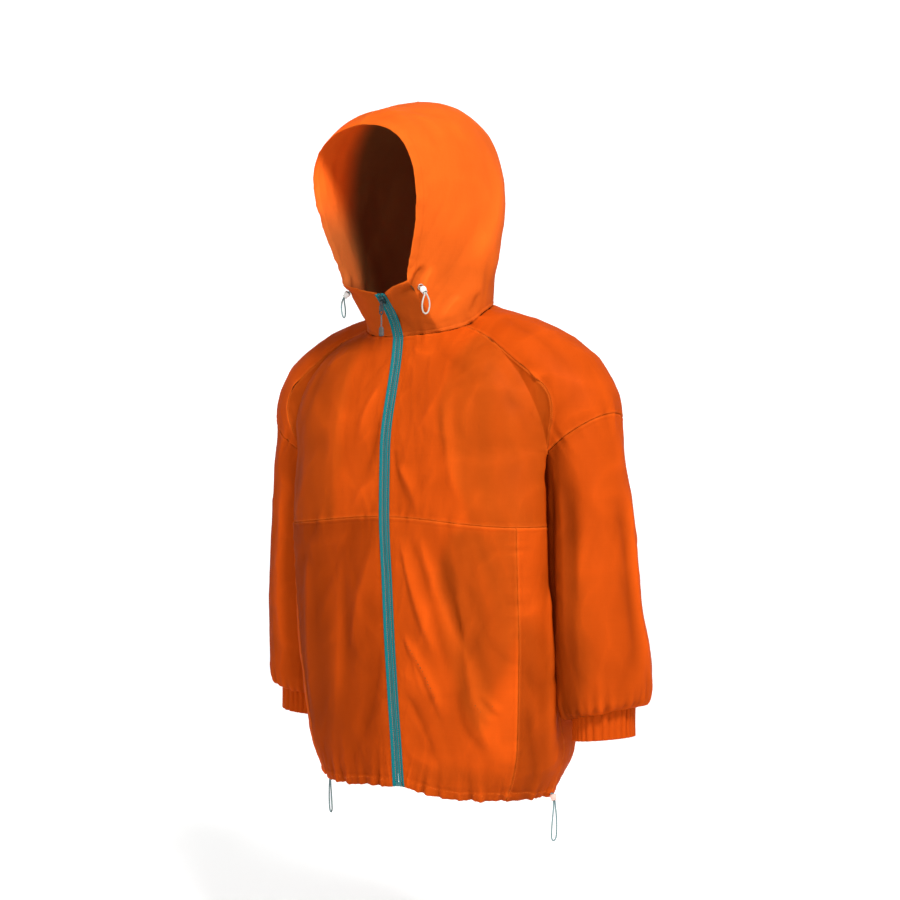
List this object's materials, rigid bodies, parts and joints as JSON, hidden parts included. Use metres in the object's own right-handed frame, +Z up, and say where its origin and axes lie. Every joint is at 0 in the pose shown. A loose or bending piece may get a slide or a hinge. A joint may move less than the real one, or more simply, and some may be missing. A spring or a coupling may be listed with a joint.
{
  "type": "sun protection jacket",
  "caption": "Thin hooded jacket in its worn shape with nobody in it: zipped front, raised hood, full sleeves, gathered cuffs and drawcords at the hood and hem.",
  "frame": {"origin": "middle of the neck seam, where the wearer's neck and shoulders hold the jacket up", "axes": "+Z up, -Y the way the front faces, +X toward the wearer's left"},
  "size_m": [0.672, 0.3186, 1.0587],
  "materials": {
    "shell_cloth": "thin woven nylon with a slight sheen, a little see-through",
    "cuff_cloth": "the same nylon, gathered on elastic",
    "pocket_cloth": "plain nylon pocket bag",
    "zip_tape": "woven zip tape, matt",
    "zip_coil": "moulded coil, satin",
    "zip_metal": "painted grey, satin",
    "eyelet_metal": "pressed ring, satin",
    "pull_rubber": "moulded pull, matt",
    "clear_plastic": "frosted clear plastic",
    "pale_cord": "round elastic cord",
    "grey_cord": "round elastic cord"
  },
  "bodies": {
    "jacket": {"chest_left": "shell_cloth", "front_left": "shell_cloth", "side_left": "shell_cloth", "shoulder_left": "shell_cloth", "yoke_left": "shell_cloth", "back_left": "shell_cloth", "sleeve_left": "shell_cloth", "cuff_left": "cuff_cloth", "hood_left": "shell_cloth", "chest_right": "shell_cloth", "front_right": "shell_cloth", "side_right": "shell_cloth", "shoulder_right": "shell_cloth", "yoke_right": "shell_cloth", "back_right": "shell_cloth", "sleeve_right": "shell_cloth", "cuff_right": "cuff_cloth", "hood_right": "shell_cloth", "pocket_left": "pocket_cloth", "pocket_right": "pocket_cloth", "zip_tape_right": "zip_tape", "zip_tape_left": "zip_tape", "zip_chain": "zip_coil", "zip_stop": "zip_coil", "zip_slider": "zip_metal", "eyelet_hood_left": "eyelet_metal", "cord_hood_left": "pale_cord", "lock_hood_left": "clear_plastic", "eyelet_hem_left": "eyelet_metal", "cord_hem_left": "grey_cord", "lock_hem_left": "clear_plastic", "eyelet_hood_right": "eyelet_metal", "cord_hood_right": "grey_cord", "lock_hood_right": "clear_plastic", "eyelet_hem_right": "eyelet_metal", "cord_hem_right": "grey_cord", "lock_hem_right": "clear_plastic"},
    "zip_pull": {"zip_tab": "zip_metal", "pull_strap": "pull_rubber", "pull_end": "pull_rubber"}
  },
  "joints": [
    {"name": "zip_pull_swing", "type": "hinge", "parent": "jacket", "child": "zip_pull", "pos_m": [0, -0.137, 0.00004], "axis": [-1, 0, 0], "range_deg": [0, 150]}
  ]
}
